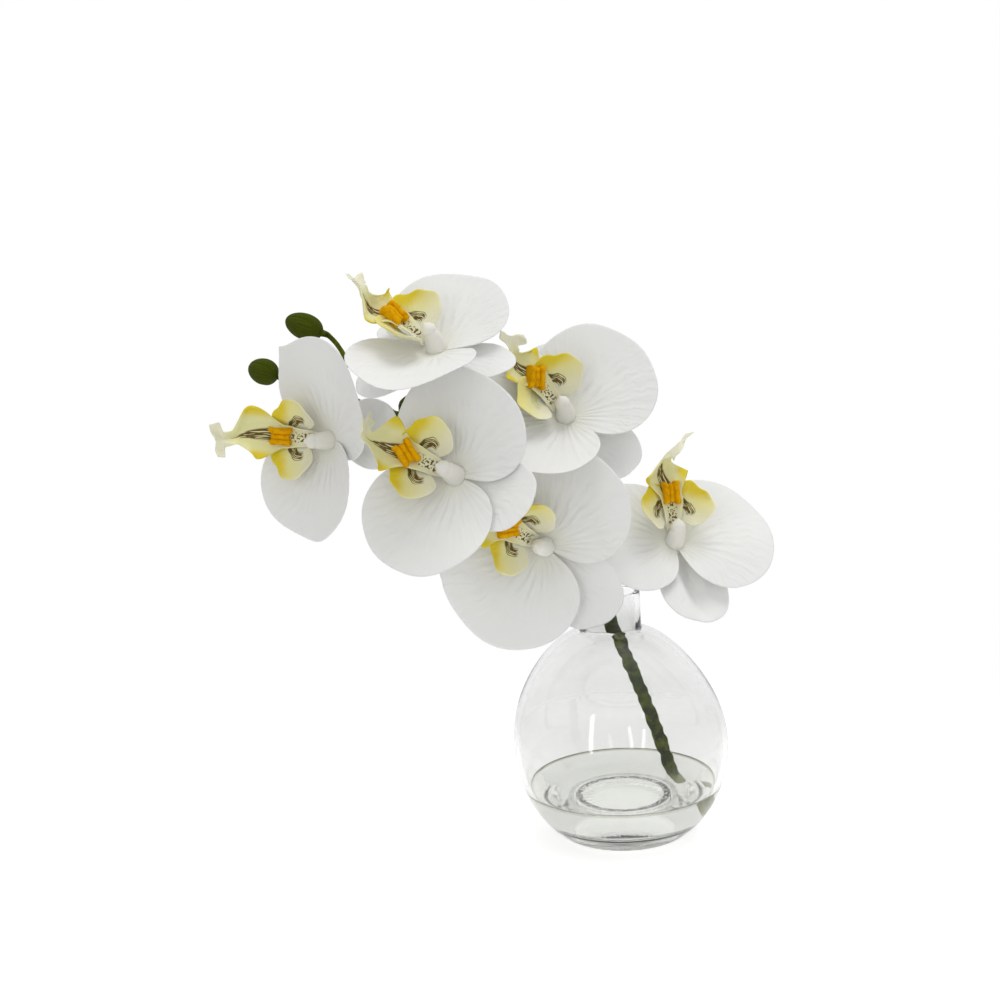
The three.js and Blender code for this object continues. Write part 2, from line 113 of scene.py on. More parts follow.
# at is where the sepals meet, out is where the bloom faces, dorsal is where its top sepal points, lip holds
# the last points of the lip's line, and lip_turn its roll and its tip's roll and swing in degrees
BLOOMS = [
    dict(at=(-73.8, -25, 232.5), out=(-0.06, -0.52, 0.85), dorsal=(0.91, -0.37, -0.17),
         lip=[(3, -27.5, 19), (2.5, -30, 28), (-1, -35.5, 33.5)], lip_turn=(0, 22, 8), callus_turn=-10,
         pale_lobe=True,
         petals=[dict(angle=0, length=48, spread=80, lift=0.31, bow=-0.07, dish=0.25),
                 dict(angle=186, length=43, lift=0.34, bow=0.05, dish=-0.25)],
         sepals=[dict(angle=86, length=37, spread=43, lift=0), dict(angle=-52, length=38, lift=-0.18),
                 dict(angle=-135)]),
    dict(at=(-18, -0.4, 199), out=(0.04, -0.82, 0.57), dorsal=(0.74, -0.36, -0.56),
         lip=[(1.5, -28.5, 18), (-1, -32.5, 23), (-5, -37, 29)], lip_turn=(14, -10, 35), callus_turn=-45,
         pale_lobe=True,
         petals=[dict(angle=-11, length=47, spread=100, lift=0.42, bow=0.05, dish=0.16),
                 dict(angle=175, length=46.5, spread=93, lift=0.43, bow=-0.13, dish=-0.08)],
         sepals=[dict(angle=90, length=40, spread=50, lift=-0.06), dict(angle=-45, length=42, lift=-0.28),
                 dict(angle=-135)]),
    dict(at=(-127.3, 13.9, 194.9), out=(-0.69, -0.73, -0.02), dorsal=(0.71, -0.67, -0.2),
         lip=[(-0.4, -25.7, 28.7), (1, -27.5, 39), (1, -27.6, 48)], lip_turn=(30, -12, -5), callus_turn=0,
         petals=[dict(angle=0, length=46.5, spread=98, lift=0.45, bow=-0.09, dish=0.12),
                 dict(angle=165, length=49.5, spread=96, lift=0.39, bow=-0.08, dish=0, tip=(46, 0.13))],
         sepals=[dict(angle=107, length=43), dict(angle=-50), dict(angle=-130, lift=-0.02)]),
    dict(at=(-67.8, -42, 178.8), out=(-0.35, -0.85, 0.39), dorsal=(0.82, -0.48, -0.3),
         lip=[(1, -27.4, 20), (0.6, -32.7, 28), (-7, -34, 32.5)], lip_turn=(20, 9, 20), callus_turn=-35,
         petals=[dict(angle=-3, length=47.5, spread=90, lift=0.37, bow=-0.06, dish=-0.07),
                 dict(angle=190, length=43, spread=97, round=0.35, lift=0.47, bow=-0.03, dish=-0.35)],
         sepals=[dict(angle=86, length=41.5, lift=0.14, bow=0.03), dict(angle=-45, length=47),
                 dict(angle=-150, lift=-0.1)]),
    dict(at=(-31, -10.2, 141.7), out=(-0.13, -0.99, 0.04), dorsal=(0.78, -0.13, -0.61),
         lip=[(0, -25.5, 18.7), (0, -32.6, 22.6), (0, -35.5, 27.5)], lip_turn=(0, 0, 0), callus_turn=35,
         petals=[dict(angle=-13, length=50, spread=102, lift=0.44, bow=-0.17, dish=-0.13),
                 dict(angle=193, length=49, spread=96, lift=0.39, bow=-0.22, dish=-0.03)],
         sepals=[dict(angle=77, length=45, lift=0.11), dict(angle=-40, length=52, lift=-0.08),
                 dict(angle=-135, lift=-0.1)]),
    dict(at=(31.7, 14.2, 135.3), out=(0.18, -0.67, 0.72), dorsal=(0.19, -0.7, -0.69),
         lip=[(3.5, -27.5, 21), (1.5, -30.5, 29), (-6, -31, 38)], lip_turn=(20, 30, -30), callus_turn=0,
         petals=[dict(angle=-15, length=48, spread=94, round=0.43, lift=0.24, bow=-0.16, dish=-0.06),
                 dict(angle=188, length=50, spread=97, round=0.46, lift=0.35, bow=-0.28, dish=-0.08)],
         sepals=[dict(angle=93, length=44, lift=-0.02, crease=-5), dict(angle=-45), dict(angle=-135)]),
]
BUD_RADIUS = 6.6
BUDS = [
    dict(at=(-164, 50, 229), along=(-0.9, 0.3, 0.35), length=16, start=0.98, bend=(-149, 48, 223)),
    dict(at=(-142, 50, 250), along=(-0.9, 0.2, 0.4), length=20, start=0.93, bend=(-122, 43, 232)),
]

rng = np.random.default_rng(SEED)


# Lines, frames and meshes

def unit(v):
    v = np.asarray(v, float)
    return v / np.linalg.norm(v, axis=-1, keepdims=True)


def round_turns(count):
    return np.linspace(0, 2 * np.pi, count, endpoint=False)


def smoothstep(x, low, high):
    t = np.clip((x - low) / (high - low), 0, 1)
    return t * t * (3 - 2 * t)


def spline(points, shares):
    """Centripetal Catmull-Rom line: cubic between two points, with slopes from the roots of the distances."""
    p = np.asarray(points, float)
    p = np.vstack([2 * p[0] - p[1], p, 2 * p[-1] - p[-2]])
    gaps = np.sqrt(np.linalg.norm(np.diff(p, axis=0), axis=1))[:, None]
    place = np.clip(np.asarray(shares, float) * (len(p) - 3), 0, len(p) - 3 - 1e-9)
    i = place.astype(int)
    t = (place - i)[:, None]
    p0, p1, p2, p3 = (p[i + k] for k in range(4))
    d0, d1, d2 = (gaps[i + k] for k in range(3))
    m1 = d1 * ((p1 - p0) / d0 - (p2 - p0) / (d0 + d1) + (p2 - p1) / d1)
    m2 = d1 * ((p2 - p1) / d1 - (p3 - p1) / (d1 + d2) + (p3 - p2) / d2)
    return (p1 * (2 * t**3 - 3 * t**2 + 1) + m1 * (t**3 - 2 * t**2 + t)
            + p2 * (3 * t**2 - 2 * t**3) + m2 * (t**3 - t**2))


def even_spline(points, shares):
    """The same line, with shares of its length in place of shares of its parameter."""
    fine = np.linspace(0, 1, 600)
    steps = np.linalg.norm(np.diff(spline(points, fine), axis=0), axis=1)
    length = np.concatenate([[0], np.cumsum(steps)])
    return spline(points, np.interp(np.asarray(shares, float) * length[-1], length, fine))


def square_to(axis, hint):
    """The direction square to an axis that comes nearest to a hint."""
    return unit(hint - axis * (axis @ hint))


def lobe_axes(out, face):
    """Rows are the axes: x out along the lobe, z where it faces, y square to both."""
    x = unit(out)
    z = square_to(x, np.array(face))
    return np.stack([x, np.cross(z, x), z])


def bloom_axes(bloom):
    """Rows are the bloom's axes: z out of it, y toward the dorsal sepal, x across."""
    z = unit(bloom["out"])
    y = square_to(z, np.array(bloom["dorsal"]))
    return np.stack([np.cross(y, z), y, z])


def on_bloom(shapes, bloom):
    axes = bloom_axes(bloom)
    return [placed(shape, axes, bloom["at"]) for shape in shapes]


def turned(points, degrees):
    """Points turned about z, counted from x toward y."""
    c, s = math.cos(math.radians(degrees)), math.sin(math.radians(degrees))
    return points @ np.array([[c, s, 0], [-s, c, 0], [0, 0, 1]])


def placed(shape, axes, at):
    return dict(shape, points=np.asarray(at, float) + shape["points"] @ axes)


def inside_out(shape):
    return dict(shape, faces=[faces[:, ::-1] for faces in shape["faces"]])


def mirrored(shape):
    """The shape on the other side of x = 0, with its faces turned back outward."""
    return inside_out(dict(shape, points=shape["points"] * (-1, 1, 1)))


def grid_faces(number):
    """Quads over a grid of vertex numbers."""
    return np.stack([number[:-1, :-1], number[1:, :-1], number[1:, 1:], number[:-1, 1:]], -1).reshape(-1, 4)


def ringed(places, ends, around, share):
    """Closed body: rings of places, each ring a loop, and a fan at both ends to an end point. Its map holds
    the place around and the share of the way along."""
    number = np.arange(places[..., 0].size).reshape(places.shape[:2])
    looped = np.hstack([number, number[:, :1]])
    foot = np.full(number.shape[1], number.size)
    first, last = number[0], number[-1]
    uv = np.stack(np.broadcast_arrays(around, share), -1).reshape(-1, 2)
    return dict(
        points=np.vstack([places.reshape(-1, 3), ends]),
        uv=np.vstack([uv, (0.5, 0), (0.5, 1)]),
        faces=[
            grid_faces(looped)[:, ::-1],
            np.stack([foot, np.roll(first, -1), first], -1),
            np.stack([foot + 1, last, np.roll(last, -1)], -1),
        ],
    )


def blade(mid, uv, half):
    """Thin closed blade: the grid's normal carries each place half the thickness to either face. The faces
    meet at the rim, where the thickness is nothing, and it is full from the second line of places inward."""
    normal = unit(np.cross(np.gradient(mid, axis=0), np.gradient(mid, axis=1)))
    i, j = np.indices(mid.shape[:2])
    inward = np.minimum(np.minimum(i, mid.shape[0] - 1 - i), np.minimum(j, mid.shape[1] - 1 - j))
    offset = normal * (half * np.choose(np.minimum(inward, 2), (0, 0.75, 1)))[..., None]
    front = np.arange(inward.size).reshape(inward.shape)
    inside = inward > 0
    back = front.copy()
    back[inside] = inward.size + np.arange(inside.sum())
    return dict(
        points=np.vstack([(mid + offset).reshape(-1, 3), (mid - offset)[inside]]),
        uv=np.vstack([uv.reshape(-1, 2), uv[inside]]),
        faces=[grid_faces(front), grid_faces(back)[:, ::-1]],
    )


def tube(centres, radii):
    """Round bar: rings square to the line of centres, with the radii given for each ring and side."""
    tangent = unit(np.gradient(centres, axis=0))
    hint = np.eye(3)[np.argmin(np.abs(tangent).max(axis=0))]
    across = unit(np.cross(tangent, hint))
    over = np.cross(tangent, across)
    rings, sides = radii.shape
    turn = round_turns(sides)[None, :, None]
    outward = across[:, None] * np.cos(turn) + over[:, None] * np.sin(turn)
    places = centres[:, None] + radii[..., None] * outward
    around = np.abs(turn[..., 0] / np.pi - 1)
    return ringed(places, centres[[0, -1]], around, np.linspace(0, 1, rings)[:, None])


def lathe(profile, sides, wave=None):
    """Turned body: the profile runs from the axis round the wall and back to the axis, as radius and height.
    A wave is added to the height, for each place of the profile and each turn."""
    turn = round_turns(sides)[None, :]
    radius, height = profile[1:-1, 0][:, None], profile[1:-1, 1][:, None]
    lifted = height + (0 if wave is None else wave(radius, height, turn)) + 0 * turn
    places = np.stack([radius * np.cos(turn), radius * np.sin(turn), lifted], -1)
    ends = [(0, 0, profile[0, 1]), (0, 0, profile[-1, 1])]
    return ringed(places, ends, turn / (2 * np.pi), np.linspace(0, 1, radius.size)[:, None])


def add_object(name, data):
    made = bpy.data.objects.new(name, data)
    bpy.context.scene.collection.objects.link(made)
    return made


def make_piece(name, shapes, materials, replaced):
    """One mesh from shapes, each a dict of points in mm, uv and faces, and look, its material's number."""
    points, uv, corners, sizes, looks = [], [], [], [], []
    start = 0
    for shape in shapes:
        points.append(shape["points"] * MM)
        uv.append(shape["uv"])
        for faces in shape["faces"]:
            corners.append(faces.reshape(-1) + start)
            sizes.append(np.full(len(faces), faces.shape[1]))
            looks.append(np.full(len(faces), shape.get("look", 0)))
        start += len(shape["points"])
    points, uv, corners, sizes, looks = (np.concatenate(a) for a in (points, uv, corners, sizes, looks))
    mesh = bpy.data.meshes.new(name)
    mesh.vertices.add(len(points))
    mesh.vertices.foreach_set("co", points.ravel())
    mesh.loops.add(len(corners))
    mesh.loops.foreach_set("vertex_index", corners.astype(np.int32))
    mesh.polygons.add(len(sizes))
    mesh.polygons.foreach_set("loop_start", np.concatenate([[0], np.cumsum(sizes)[:-1]]).astype(np.int32))
    mesh.polygons.foreach_set("material_index", looks.astype(np.int32))
    mesh.polygons.foreach_set("use_smooth", np.ones(len(sizes), bool))
    mesh.uv_layers.new(name="surface").data.foreach_set("uv", uv[corners].astype(np.float32).ravel())
    for material in materials:
        mesh.materials.append(material)
    mesh.update(calc_edges=True)
    mesh.validate()
    piece = add_object(name, mesh)
    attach(piece, "root")
    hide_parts(replaced)


# Materials

def fill(socket, value):
    """Gives a socket a plain value, or joins it to the socket that feeds it."""
    if isinstance(value, bpy.types.NodeSocket):
        socket.id_data.links.new(value, socket)
    else:
        socket.default_value = value


def node(tree, kind, inputs=(), **settings):
    """Adds a node. Inputs pairs a socket's name or number with a value, or with the socket that feeds it."""
    made = tree.nodes.new(kind)
    for key, value in settings.items():
        setattr(made, key, value)
    for key, value in dict(inputs).items():
        fill(made.inputs[key], value)
    return made


def maths(tree, operation, *values):
    return node(tree, "ShaderNodeMath", enumerate(values), operation=operation).outputs[0]


def times(tree, a, b):
    return maths(tree, "MULTIPLY", a, b)


def noise(tree, source, scale, detail, roughness=0.5):
    values = {"Vector": source, "Scale": scale, "Detail": detail, "Roughness": roughness}
    return node(tree, "ShaderNodeTexNoise", values).outputs[0]


def object_place(tree):
    return node(tree, "ShaderNodeTexCoord").outputs["Object"]


def split(tree, source):
    return node(tree, "ShaderNodeSeparateXYZ", {0: source}).outputs


def join(tree, x, y):
    return node(tree, "ShaderNodeCombineXYZ", {0: x, 1: y}).outputs[0]


def remap(tree, value, low, high, to_low=0.0, to_high=1.0):
    """Value from low to high read as to_low to to_high, eased and clamped."""
    return node(
        tree, "ShaderNodeMapRange", {0: value, 1: low, 2: high, 3: to_low, 4: to_high},
        interpolation_type="SMOOTHSTEP",
    ).outputs[0]


def blend(tree, factor, a, b):
    return node(tree, "ShaderNodeMix", {0: factor, 6: a, 7: b}, data_type="RGBA").outputs[2]


def new_group(name, numbers, results):
    """Shader node group that takes a map and numbers and gives numbers, each by name."""
    tree = bpy.data.node_groups.new(name, "ShaderNodeTree")
    tree.interface.new_socket("Map", in_out="INPUT", socket_type="NodeSocketVector")
    for label in numbers:
        tree.interface.new_socket(label, in_out="INPUT", socket_type="NodeSocketFloat")
    for label in results:
        tree.interface.new_socket(label, in_out="OUTPUT", socket_type="NodeSocketFloat")
    return tree, node(tree, "NodeGroupInput").outputs, node(tree, "NodeGroupOutput").inputs


def bent_map(tree, given, scale):
    """The map's places across, pushed aside by a noise of the scale given, and its places along."""
    x, along, _ = split(tree, given["Map"])
    push = maths(tree, "SUBTRACT", noise(tree, given["Map"], scale, 2.0), 0.5)
    return maths(tree, "ADD", x, times(tree, push, given["Bend"])), along


def vein_group():
    """Fine veins that follow the surface: narrow lines across the map, bent by noise, and twice as many
    further out. Fibre is a noise drawn out along the veins, and grain an even one."""
    tree, given, out = new_group("leaf veins", ["Count", "Bend"], ["Line", "Fibre", "Grain"])
    across, along = bent_map(tree, given, 5.0)
    lines = []
    for share in (1.0, 2.0):
        count = times(tree, given["Count"], share)
        wave = maths(tree, "SINE", times(tree, across, times(tree, count, 2 * math.pi)))
        lines.append(maths(tree, "POWER", maths(tree, "MULTIPLY_ADD", wave, 0.5, 0.5), 3.0))
    line = maths(tree, "MAXIMUM", lines[0], times(tree, lines[1], remap(tree, along, 0.35, 0.7)))
    patch = remap(tree, noise(tree, given["Map"], 4.0, 1.0), 0.38, 0.62)
    drawn_out = join(tree, times(tree, across, times(tree, given["Count"], 2.2)), times(tree, along, 2.5))
    fill(out["Line"], times(tree, line, patch))
    fill(out["Fibre"], noise(tree, drawn_out, 1.0, 3.0))
    fill(out["Grain"], noise(tree, given["Map"], 90.0, 3.0))
    return tree


def streak_group():
    """Streaks along the surface: bands across the map, bent by one noise, broken and joined by another."""
    tree, given, out = new_group("brown streaks", ["Count", "Bend", "Break"], ["Streak"])
    across, along = bent_map(tree, given, 8.0)
    counted = times(tree, across, given["Count"])
    bands = times(tree, maths(tree, "SINE", times(tree, counted, 2 * math.pi)), 0.3)
    broken = noise(tree, join(tree, counted, times(tree, along, given["Break"])), 1.0, 1.0)
    fill(out["Streak"], remap(tree, maths(tree, "MULTIPLY_ADD", broken, 1.6, bands), 0.58, 0.68))
    return tree


VEINS = vein_group()
STREAKS = streak_group()


def new_material(name):
    material = bpy.data.materials.new(name)
    material.use_nodes = True
    tree = material.node_tree
    tree.nodes.clear()
    shader = tree.nodes.new("ShaderNodeBsdfPrincipled")
    out = tree.nodes.new("ShaderNodeOutputMaterial")
    tree.links.new(shader.outputs[0], out.inputs[0])
    return material, tree, shader


def dress(shader, **values):
    """Fills the shader's own sockets, named with underscores for spaces."""
    for key, value in values.items():
        fill(shader.inputs[key.replace("_", " ")], value)


def fleshy(shader, roughness, weight, radius, scale):
    """Light sinks into the surface as far as the radius for red, green and blue, times the scale."""
    dress(shader, Roughness=roughness, Subsurface_Weight=weight)
    dress(shader, Subsurface_Radius=radius, Subsurface_Scale=scale)


def bump(tree, height, strength, distance):
    values = {"Height": height, "Strength": strength, "Distance": distance}
    return node(tree, "ShaderNodeBump", values).outputs[0]


def surface_map(tree):
    """The piece's own map: across in x, along in y."""
    source = node(tree, "ShaderNodeUVMap", uv_map="surface").outputs[0]
    across, along, _ = split(tree, source)
    return source, across, along


def veins(tree, source, count, bend):
    """Line, fibre and grain of the vein group."""
    values = {"Map": source, "Count": count, "Bend": bend}
    return node(tree, "ShaderNodeGroup", values, node_tree=VEINS).outputs


def streaks(tree, source, count, bend, breaks):
    values = {"Map": source, "Count": count, "Bend": bend, "Break": breaks}
    return node(tree, "ShaderNodeGroup", values, node_tree=STREAKS).outputs[0]


def near(tree, value, middle, width, soft):
    """One where the value lies within a width of the middle, easing to nothing over the soft edge."""
    distance = maths(tree, "ABSOLUTE", maths(tree, "SUBTRACT", value, middle))
    return remap(tree, distance, width, width + soft, 1.0, 0.0)


WHITE = (0.79, 0.79, 0.775, 1)
WHITE_WARM = (0.76, 0.76, 0.67, 1)
# Vein colour: the veins' own tone together with painted shade along their raised ridges
VEIN_TONE_AND_SHADE = (0.66, 0.665, 0.63, 1)
PALE_YELLOW = (0.8, 0.745, 0.3, 1)
PALE_GREEN = (0.765, 0.75, 0.4, 1)
CREAM = (0.8, 0.785, 0.6, 1)
STRONG_YELLOW = (0.73, 0.59, 0.014, 1)
BROWN = (0.13, 0.075, 0.006, 1)
ORANGE = (0.75, 0.39, 0.0, 1)
ORANGE_DEEP = (0.6, 0.26, 0.0, 1)
COLUMN_WHITE = (0.8, 0.795, 0.75, 1)
COLUMN_CREAM = (0.78, 0.76, 0.68, 1)
STEM_DARK = (0.02, 0.033, 0.0, 1)
STEM_GREEN = (0.085, 0.11, 0.003, 1)
STEM_FLECK = (0.17, 0.18, 0.04, 1)
STEM_CUT = (0.34, 0.36, 0.12, 1)
BUD_DARK = (0.035, 0.05, 0.0, 1)
BUD_GREEN = (0.09, 0.12, 0.004, 1)
GLASS_FILM = (0.9, 0.9, 0.9, 1)
GLASS_CLEAR = (0.95, 0.955, 0.95, 1)
# Painted shade: grey tint for the glass of the ball and neck
GLASS_PAINTED_SHADE = (0.83, 0.835, 0.825, 1)
# Painted shade: darker tint for the glass's outline, where it is seen edge-on
GLASS_EDGE_SHADE = (0.68, 0.68, 0.66, 1)
# Painted shade: near-black tint on the moulded ring of the glass floor
GLASS_RING_SHADE = (0.01, 0.01, 0.01, 1)
WATER_TINT = (0.93, 0.935, 0.91, 1)
# Painted shade for the water's meniscus line
WATER_LINE_SHADE = (0.62, 0.62, 0.52, 1)


def petal_material():
    material, tree, shader = new_material("white petal")
    source, _, along = surface_map(tree)
    line, fibre, grain = veins(tree, source, 26.0, 0.05)
    base = blend(tree, remap(tree, along, 0.05, 0.4), WHITE_WARM, WHITE)
    # The veins' darker colour, strongest near the root, is partly their own tone and partly painted shade
    # along their raised ridges
    shown = times(tree, line, remap(tree, along, 0.15, 0.9, 0.55, 0.0))
    dress(shader, Base_Color=blend(tree, shown, base, VEIN_TONE_AND_SHADE))
    relief = maths(tree, "MULTIPLY_ADD", fibre, 1.2, maths(tree, "MULTIPLY_ADD", grain, 0.25, line))
    dress(shader, Normal=bump(tree, relief, 0.55, 0.0003))
    fleshy(shader, 0.62, 0.25, (1.0, 1.0, 0.95), 0.0015)
    dress(shader, Sheen_Weight=0.08, Sheen_Roughness=0.4)
    return material


def column_material():
    material, tree, shader = new_material("cream column")
    mottle = noise(tree, object_place(tree), 260.0, 3.0)
    dress(shader, Base_Color=blend(tree, mottle, COLUMN_WHITE, COLUMN_CREAM))
    dress(shader, Normal=bump(tree, mottle, 0.25, 0.0003))
    fleshy(shader, 0.5, 0.3, (1.0, 0.95, 0.8), 0.0015)
    return material


def marked(tree, shader, base, mark, relief, weight):
    """A lip's flesh with brown marks."""
    dress(shader, Base_Color=blend(tree, mark, base, BROWN), Normal=bump(tree, relief, 0.3, 0.0003))
    fleshy(shader, 0.5, weight, (1.0, 0.9, 0.4), 0.0012)


def mid_lobe_material():
    """Cream at the root and tip and pale green between, with yellow shoulders, brown streaks in a wedge that
    narrows toward the tip, and brown dots in the throat."""
    material, tree, shader = new_material("lip mid lobe")
    source, across, along = surface_map(tree)
    line, _, grain = veins(tree, source, 9.0, 0.04)
    base = blend(tree, remap(tree, along, 0.1, 0.4), CREAM, PALE_GREEN)
    base = blend(tree, remap(tree, along, 0.72, 0.9), base, CREAM)
    offset = maths(tree, "ABSOLUTE", maths(tree, "SUBTRACT", across, 0.5))
    shoulders = near(tree, along, 0.58, 0.06, 0.1)
    rim = times(tree, remap(tree, offset, 6.5 / LIP_MAP, 11 / LIP_MAP), shoulders)
    base = blend(tree, rim, base, STRONG_YELLOW)
    beside = maths(tree, "SUBTRACT", remap(tree, along, 0.42, 0.8, 3.6 / LIP_MAP, 0.1 / LIP_MAP), offset)
    beside = remap(tree, beside, -0.5 / LIP_MAP, 0.5 / LIP_MAP)
    zone = times(tree, beside, near(tree, along, 0.6, 0.17, 0.03))
    mark = times(tree, streaks(tree, source, 40.0, 0.05, 12.0), zone)
    throat = times(tree, remap(tree, offset, 2 / LIP_MAP, 3 / LIP_MAP, 1.0, 0.0),
                   near(tree, along, 0.22, 0.11, 0.04))
    dots = noise(tree, source, 36.0, 1.0)
    dots = times(tree, remap(tree, dots, 0.52, 0.56), throat)
    mark = maths(tree, "MAXIMUM", mark, dots)
    marked(tree, shader, base, mark, maths(tree, "MULTIPLY_ADD", grain, 0.3, line), 0.2)
    return material


def side_lobe_material(name, strength):
    """Cream and yellow, with a strong yellow rim and brown marks round the root, both as deep as the
    strength given."""
    material, tree, shader = new_material(name)
    source, across, along = surface_map(tree)
    line, _, grain = veins(tree, source, 14.0, 0.04)
    base = blend(tree, remap(tree, along, 0.3, 0.9), PALE_GREEN, PALE_YELLOW)
    base = blend(tree, remap(tree, across, 0.5, 0.85), base, CREAM)
    base = blend(tree, remap(tree, along, 0.12, 0.26, 0.8, 0.0), base, WHITE)
    inner = maths(tree, "MULTIPLY_ADD", across, 0.9, 0.1)
    rim = times(tree, remap(tree, maths(tree, "SUBTRACT", along, inner), 0.02, 0.42),
                remap(tree, across, 0.62, 0.45))
    base = blend(tree, times(tree, rim, strength), base, STRONG_YELLOW)
    zone = times(tree, near(tree, along, 0.35, 0.1, 0.04), near(tree, across, 0.42, 0.24, 0.1))
    zone = times(tree, zone, strength)
    mark = times(tree, streaks(tree, join(tree, along, across), 22.0, 0.05, 4.5), zone)
    marked(tree, shader, base, mark, maths(tree, "MULTIPLY_ADD", grain, 0.3, line), 0.25)
    return material


def callus_material():
    material, tree, shader = new_material("orange callus")
    mottle = noise(tree, object_place(tree), 420.0, 3.0)
    shade = remap(tree, mottle, 0.4, 0.75)
    dress(shader, Base_Color=blend(tree, shade, ORANGE, ORANGE_DEEP))
    dress(shader, Normal=bump(tree, mottle, 0.2, 0.0002))
    fleshy(shader, 0.6, 0.1, (1.0, 0.4, 0.1), 0.001)
    dress(shader, Specular_IOR_Level=0.06)
    return material


def stem_material():
    material, tree, shader = new_material("rough green stem")
    place = object_place(tree)
    broad = noise(tree, place, 130.0, 5.0, 0.65)
    fine = noise(tree, place, 900.0, 4.0)
    base = blend(tree, remap(tree, broad, 0.4, 0.62), STEM_DARK, STEM_GREEN)
    base = blend(tree, remap(tree, fine, 0.56, 0.7, 0.0, 0.5), base, STEM_FLECK)
    height = split(tree, place)["Z"]
    base = blend(tree, remap(tree, height, 0.019, 0.026, 1.0, 0.0), base, STEM_CUT)
    dress(shader, Base_Color=base)
    relief = maths(tree, "MULTIPLY_ADD", fine, 0.4, broad)
    dress(shader, Normal=bump(tree, relief, 0.7, 0.0008))
    dress(shader, Roughness=0.8, Specular_IOR_Level=0.1)
    return material


def bud_material():
    material, tree, shader = new_material("green bud")
    source, _, along = surface_map(tree)
    line, _, grain = veins(tree, source, 12.0, 0.03)
    shade = maths(tree, "MULTIPLY_ADD", line, 0.35, times(tree, grain, 0.6))
    dress(shader, Base_Color=blend(tree, shade, BUD_DARK, BUD_GREEN))
    relief = maths(tree, "MULTIPLY_ADD", grain, 0.8, line)
    dress(shader, Normal=bump(tree, relief, 0.7, 0.0005))
    dress(shader, Roughness=0.7, Specular_IOR_Level=0.1)
    return material


def length_of(tree, source):
    return node(tree, "ShaderNodeVectorMath", {0: source}, operation="LENGTH").outputs["Value"]


def ring_mask(tree, radius, width, soft, low, high):
    """One on a ring about the vase's axis, between two heights, in mm."""
    place = object_place(tree)
    level = node(tree, "ShaderNodeVectorMath", {0: place, 1: (1, 1, 0)}, operation="MULTIPLY").outputs[0]
    distance = length_of(tree, level)
    height = split(tree, place)["Z"]
    middle, reach = (low + high) / 2 * MM, (high - low) / 2 * MM
    return times(tree, near(tree, distance, radius * MM, width * MM, soft * MM),
                 near(tree, height, middle, reach, 0.3 * MM))


# How far glass and water bend light, and the ray depth past which a path ends and glows
GLASS_BEND = 1.5
WATER_BEND = 1.333
LAST_BOUNCE = 11.5
END_GLOW = 0.7


def clear_material(name, ior, tint):
    """Clear and smooth. Lamps shine through it, so that it throws no dark shadow. Light that has met so many
    faces that its path would end glows softly in place of black."""
    material, tree, shader = new_material(name)
    dress(shader, Base_Color=tint, Roughness=0.0, IOR=ior, Transmission_Weight=1.0, Emission_Strength=1.0)
    path = node(tree, "ShaderNodeLightPath").outputs
    last = maths(tree, "GREATER_THAN", path["Ray Depth"], LAST_BOUNCE)
    dress(shader, Emission_Color=times(tree, last, END_GLOW))
    film = node(tree, "ShaderNodeBsdfTransparent", {"Color": tint}).outputs[0]
    mix = node(tree, "ShaderNodeMixShader", {0: path["Is Shadow Ray"], 1: shader.outputs[0], 2: film})
    fill(tree.get_output_node("ALL").inputs[0], mix.outputs[0])
    return material, tree, shader


def glass_material():
    """Clear glass with painted shade: greyer in the ball, neck and outline than in the foot and shoulders,
    and painted dark on the stippled ring of its moulded base."""
    material, tree, shader = clear_material("clear glass", GLASS_BEND, GLASS_FILM)
    place = object_place(tree)
    height = split(tree, place)["Z"]
    # Painted shade: the ball and neck are tinted grey, the shoulders less, for the grey that light through
    # the glass takes on
    painted_grey = near(tree, height, 0.058, 0.046, 0.01)
    painted_grey = maths(tree, "MULTIPLY_ADD", near(tree, height, 0.08, 0.008, 0.012), -0.5, painted_grey)
    tint = blend(tree, painted_grey, GLASS_CLEAR, GLASS_PAINTED_SHADE)
    # Painted shade: the outline, where the glass is seen edge-on, is tinted darker
    facing = node(tree, "ShaderNodeLayerWeight", {"Blend": 0.5}).outputs["Facing"]
    tint = blend(tree, remap(tree, facing, 0.85, 0.98), tint, GLASS_EDGE_SHADE)
    # Painted shade: the moulded ring of the glass floor is tinted near black in specks, for the dark its
    # rough teeth give; the teeth are also modelled in the mesh
    specks = noise(tree, place, 900.0, 1.0)
    inner = ring_mask(tree, BASE_RING, 1.3, 0.6, GLASS_FLOOR - 2, GLASS_FLOOR + 2)
    outer = ring_mask(tree, BASE_RING + 4, 0.6, 1.2, GLASS_FLOOR - 2, GLASS_FLOOR + 2)
    ring = times(tree, maths(tree, "MULTIPLY_ADD", outer, 0.5, inner),
                 remap(tree, specks, 0.36, 0.5))
    dress(shader, Base_Color=blend(tree, ring, tint, GLASS_RING_SHADE))
    return material


def water_material():
    """Clear water, with painted shade: a darker line where its surface climbs the glass."""
    material, tree, shader = clear_material("clear water", WATER_BEND, WATER_TINT)
    edge = ball_radius(WATER_Z + 1, GLASS_WALL)
    # Painted shade along the meniscus, where the water climbs the glass
    line = ring_mask(tree, edge, 0.6, 0.6, WATER_Z - 0.2, WATER_Z + 1.5)
    dress(shader, Base_Color=blend(tree, line, WATER_TINT, WATER_LINE_SHADE))
    return material


PETAL_LOOK = petal_material()
COLUMN_LOOK = column_material()
MID_LOBE_LOOK = mid_lobe_material()
SIDE_LOBE_LOOK = side_lobe_material("lip side lobe", 1.0)
PALE_LOBE_LOOK = side_lobe_material("pale lip side lobe", 0.2)
CALLUS_LOOK = callus_material()
STEM_LOOK = stem_material()
BUD_LOOK = bud_material()


# Blooms

